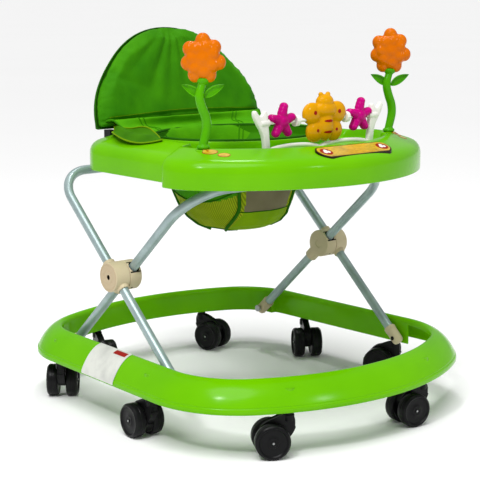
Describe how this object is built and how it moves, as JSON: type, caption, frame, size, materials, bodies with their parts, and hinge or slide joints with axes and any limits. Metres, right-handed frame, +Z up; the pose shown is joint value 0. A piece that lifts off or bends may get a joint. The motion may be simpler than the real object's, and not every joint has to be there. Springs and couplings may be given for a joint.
{
  "type": "baby walker",
  "caption": "Baby walker: rounded base ring on swivel casters, crossed folding tube legs, and a tray with a seat, padded backrest and toys.",
  "frame": {"origin": "centre of the base ring's outline, on the floor under the wheels", "axes": "+Z up; the child faces -Y, so the child's left is +X; Y runs along the ring's length"},
  "size_m": [0.617, 0.71, 0.6484],
  "materials": {
    "green_plastic": "gloss",
    "black_plastic": "satin",
    "painted_steel": "satin",
    "pin_steel": "brushed",
    "cream_plastic": "satin",
    "green_fabric": "matte",
    "orange_plastic": "gloss",
    "magenta_plastic": "gloss",
    "yellow_plastic": "gloss",
    "white_plastic": "gloss",
    "label_film": "matte",
    "panel_plastic": "gloss",
    "panel_print": "gloss"
  },
  "bodies": {
    "base": {"base_ring": "green_plastic", "label_sticker": "label_film", "rear_pivot_pin_right": "pin_steel", "rear_pivot_pin_left": "pin_steel"},
    "flower_right": {"flower_stem_right": "green_plastic", "flower_head_right": "orange_plastic"},
    "star_right": {"star_toy_right": "magenta_plastic"},
    "flower_left": {"flower_stem_left": "green_plastic", "flower_head_left": "orange_plastic"},
    "star_left": {"star_toy_left": "magenta_plastic"},
    "front_frame": {"front_frame_tube": "painted_steel", "rear_leg_right": "painted_steel", "hub_inner_right": "cream_plastic", "rear_foot_right": "cream_plastic", "rear_leg_left": "painted_steel", "hub_inner_left": "cream_plastic", "rear_foot_left": "cream_plastic"},
    "rear_frame": {"rear_frame_tube": "painted_steel", "hub_outer_right": "cream_plastic", "front_foot_right": "cream_plastic", "hub_outer_left": "cream_plastic", "front_foot_left": "cream_plastic"},
    "tray": {"tray": "green_plastic", "tray_clip_right": "green_plastic", "slide_rib_right": "green_plastic", "backrest_bracket_right": "black_plastic", "spacer_ring_right": "white_plastic", "tray_clip_left": "green_plastic", "slide_rib_left": "green_plastic", "backrest_bracket_left": "black_plastic", "spacer_ring_left": "white_plastic", "seat_pouch": "green_fabric", "backrest_cushion": "green_fabric", "backrest_board": "green_plastic", "toy_frame": "white_plastic", "toy_bar": "white_plastic", "play_panel": "panel_plastic", "panel_face": "panel_print"},
    "butterfly": {"butterfly_toy": "yellow_plastic"},
    "caster_1": {"caster_housing_1": "black_plastic"},
    "wheels_1": {"caster_wheels_1": "black_plastic"},
    "caster_2": {"caster_housing_2": "black_plastic"},
    "wheels_2": {"caster_wheels_2": "black_plastic"},
    "caster_3": {"caster_housing_3": "black_plastic"},
    "wheels_3": {"caster_wheels_3": "black_plastic"},
    "caster_4": {"caster_housing_4": "black_plastic"},
    "wheels_4": {"caster_wheels_4": "black_plastic"},
    "caster_5": {"caster_housing_5": "black_plastic"},
    "wheels_5": {"caster_wheels_5": "black_plastic"},
    "caster_6": {"caster_housing_6": "black_plastic"},
    "wheels_6": {"caster_wheels_6": "black_plastic"},
    "caster_7": {"caster_housing_7": "black_plastic"},
    "wheels_7": {"caster_wheels_7": "black_plastic"},
    "caster_8": {"caster_housing_8": "black_plastic"},
    "wheels_8": {"caster_wheels_8": "black_plastic"}
  },
  "joints": [
    {"name": "fold", "type": "hinge", "parent": "base", "child": "front_frame", "pos_m": [0, 0.208, 0.086], "axis": [1, 0, 0], "range_deg": [0, 26]},
    {"name": "scissor", "type": "hinge", "parent": "front_frame", "child": "rear_frame", "pos_m": [0, 0.038, 0.241], "axis": [1, 0, 0], "range_deg": [-52, 0]},
    {"name": "tray_level", "type": "hinge", "parent": "rear_frame", "child": "tray", "pos_m": [0, 0.21019, 0.398], "axis": [1, 0, 0], "range_deg": [0, 26]},
    {"name": "butterfly_rock", "type": "hinge", "parent": "tray", "child": "butterfly", "pos_m": [0.01, -0.186, 0.504], "axis": [1, 0, 0], "range_deg": [-100, 100]},
    {"name": "star_spin_right", "type": "hinge", "parent": "tray", "child": "star_right", "pos_m": [-0.083, -0.186, 0.504], "axis": [1, 0, 0], "continuous": true},
    {"name": "star_spin_left", "type": "hinge", "parent": "tray", "child": "star_left", "pos_m": [0.09, -0.186, 0.504], "axis": [1, 0, 0], "continuous": true},
    {"name": "flower_turn_right", "type": "hinge", "parent": "tray", "child": "flower_right", "pos_m": [-0.208, -0.143, 0.466], "axis": [0, 0, 1], "continuous": true},
    {"name": "flower_turn_left", "type": "hinge", "parent": "tray", "child": "flower_left", "pos_m": [0.208, -0.143, 0.466], "axis": [0, 0, 1], "continuous": true},
    {"name": "caster_swivel_1", "type": "hinge", "parent": "base", "child": "caster_1", "pos_m": [-0.27161, 0.17977, 0.09], "axis": [0, 0, 1], "continuous": true},
    {"name": "wheel_spin_1", "type": "hinge", "parent": "caster_1", "child": "wheels_1", "pos_m": [-0.25361, 0.20122, 0.028], "axis": [-0.766, 0.6428, 0], "continuous": true},
    {"name": "caster_swivel_2", "type": "hinge", "parent": "base", "child": "caster_2", "pos_m": [-0.28212, -0.0988, 0.09], "axis": [0, 0, 1], "continuous": true},
    {"name": "wheel_spin_2", "type": "hinge", "parent": "caster_2", "child": "wheels_2", "pos_m": [-0.27968, -0.0709, 0.028], "axis": [-0.9962, 0.0872, 0], "continuous": true},
    {"name": "caster_swivel_3", "type": "hinge", "parent": "base", "child": "caster_3", "pos_m": [-0.16497, -0.29639, 0.09], "axis": [0, 0, 1], "continuous": true},
    {"name": "wheel_spin_3", "type": "hinge", "parent": "caster_3", "child": "wheels_3", "pos_m": [-0.18884, -0.28176, 0.028], "axis": [-0.5225, -0.8526, 0], "continuous": true},
    {"name": "caster_swivel_4", "type": "hinge", "parent": "base", "child": "caster_4", "pos_m": [0.11894, -0.31311, 0.09], "axis": [0, 0, 1], "continuous": true},
    {"name": "wheel_spin_4", "type": "hinge", "parent": "caster_4", "child": "wheels_4", "pos_m": [0.09133, -0.30849, 0.028], "axis": [-0.165, -0.9863, 0], "continuous": true},
    {"name": "caster_swivel_5", "type": "hinge", "parent": "base", "child": "caster_5", "pos_m": [0.2822, -0.10104, 0.09], "axis": [0, 0, 1], "continuous": true},
    {"name": "wheel_spin_5", "type": "hinge", "parent": "caster_5", "child": "wheels_5", "pos_m": [0.2682, -0.07679, 0.028], "axis": [-0.866, -0.5, 0], "continuous": true},
    {"name": "caster_swivel_6", "type": "hinge", "parent": "base", "child": "caster_6", "pos_m": [0.27321, 0.13801, 0.09], "axis": [0, 0, 1], "continuous": true},
    {"name": "wheel_spin_6", "type": "hinge", "parent": "caster_6", "child": "wheels_6", "pos_m": [0.25816, 0.11439, 0.028], "axis": [0.8434, -0.5373, 0], "continuous": true},
    {"name": "caster_swivel_7", "type": "hinge", "parent": "base", "child": "caster_7", "pos_m": [0.14807, 0.30767, 0.09], "axis": [0, 0, 1], "continuous": true},
    {"name": "wheel_spin_7", "type": "hinge", "parent": "caster_7", "child": "wheels_7", "pos_m": [0.15508, 0.28056, 0.028], "axis": [0.9681, 0.2504, 0], "continuous": true},
    {"name": "caster_swivel_8", "type": "hinge", "parent": "base", "child": "caster_8", "pos_m": [-0.09803, 0.32063, 0.09], "axis": [0, 0, 1], "continuous": true},
    {"name": "wheel_spin_8", "type": "hinge", "parent": "caster_8", "child": "wheels_8", "pos_m": [-0.1076, 0.29432, 0.028], "axis": [0.9397, -0.342, 0], "continuous": true}
  ],
  "couplings": [
    {"joint": "scissor", "follows": "fold", "ratio": -2},
    {"joint": "tray_level", "follows": "fold", "ratio": 1}
  ]
}
